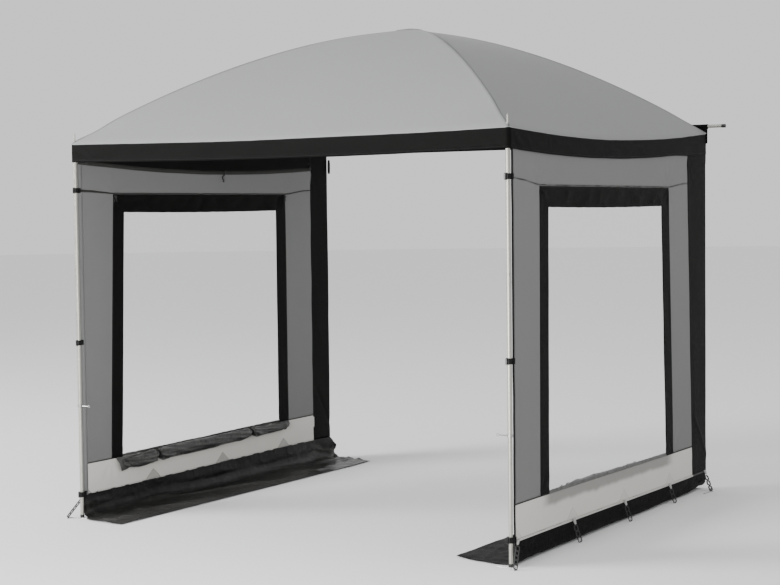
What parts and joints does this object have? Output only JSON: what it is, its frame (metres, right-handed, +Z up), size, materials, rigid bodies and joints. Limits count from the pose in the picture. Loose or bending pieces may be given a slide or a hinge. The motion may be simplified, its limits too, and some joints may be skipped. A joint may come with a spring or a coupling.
{
  "type": "van awning",
  "caption": "Free-standing van awning: domed cloth roof on arched poles, side walls with clear windows and mud skirts, telescopic legs.",
  "frame": {"origin": "ground level under the middle of the awning's outer box", "axes": "+X along the van, from the left wall to the right wall; +Y from the open front to the van side; +Z up"},
  "size_m": [2.842, 2.514, 2.634],
  "materials": {
    "roof_cloth": "coated polyester, matt",
    "wall_cloth": "coated polyester, matt",
    "band_cloth": "thin coated cloth, slightly see-through",
    "black_cloth": "coated polyester, matt",
    "mud_skirt": "soft coated sheet, half gloss",
    "window_film": "clear soft film",
    "blind_cloth": "smooth lining cloth with a slight sheen",
    "steel_tube": "galvanised, dull",
    "bright_steel": "bright wire",
    "pole_rod": "grey glass fibre rod",
    "black_plastic": "moulded",
    "grey_plastic": "moulded soft plastic",
    "webbing": "woven tape"
  },
  "bodies": {
    "awning": {"roof_canopy": "roof_cloth", "valance_front": "black_cloth", "valance_left": "black_cloth", "valance_right": "black_cloth", "crown_hub": "black_plastic", "arch_pole_front_left": "pole_rod", "arch_pole_front_right": "pole_rod", "arch_pole_rear_left": "pole_rod", "arch_pole_rear_right": "pole_rod", "corner_joint_front_left": "black_plastic", "corner_joint_front_right": "black_plastic", "corner_joint_rear_left": "webbing", "corner_joint_rear_right": "webbing", "rear_sleeve": "black_cloth", "rear_pole": "steel_tube", "rear_pole_cap_left": "black_plastic", "rear_pole_cap_right": "black_plastic", "wall_panel_left": "wall_cloth", "wall_panel_right": "wall_cloth", "window_border_left": "black_cloth", "window_border_right": "black_cloth", "window_film_left": "window_film", "window_film_right": "window_film", "light_band_left": "band_cloth", "light_band_right": "band_cloth", "seal_strip_left": "black_cloth", "seal_strip_right": "black_cloth", "mud_skirt_left": "mud_skirt", "mud_skirt_right": "mud_skirt", "rolled_blind_left": "blind_cloth", "rolled_blind_right": "blind_cloth", "edge_tape_left": "webbing", "edge_tape_right": "webbing", "leg_upper_left": "steel_tube", "leg_upper_right": "steel_tube", "leg_middle_left": "steel_tube", "leg_middle_right": "steel_tube", "leg_lock_left": "bright_steel", "leg_lock_right": "bright_steel", "peg_ladders_left": "grey_plastic", "peg_ladders_right": "grey_plastic", "peg_front_left": "bright_steel", "peg_front_right": "bright_steel", "peg_rear_left": "bright_steel", "peg_rear_right": "bright_steel"},
    "lower_leg_left": {"leg_lower_left": "steel_tube", "foot_cap_left": "black_plastic"},
    "lower_leg_right": {"leg_lower_right": "steel_tube", "foot_cap_right": "black_plastic"}
  },
  "joints": [
    {"name": "leg_slide_left", "type": "slide", "parent": "awning", "child": "lower_leg_left", "axis": [0, 0, 1], "range_m": [-0.25, 0.33]},
    {"name": "leg_slide_right", "type": "slide", "parent": "awning", "child": "lower_leg_right", "axis": [0, 0, 1], "range_m": [-0.25, 0.33]}
  ]
}
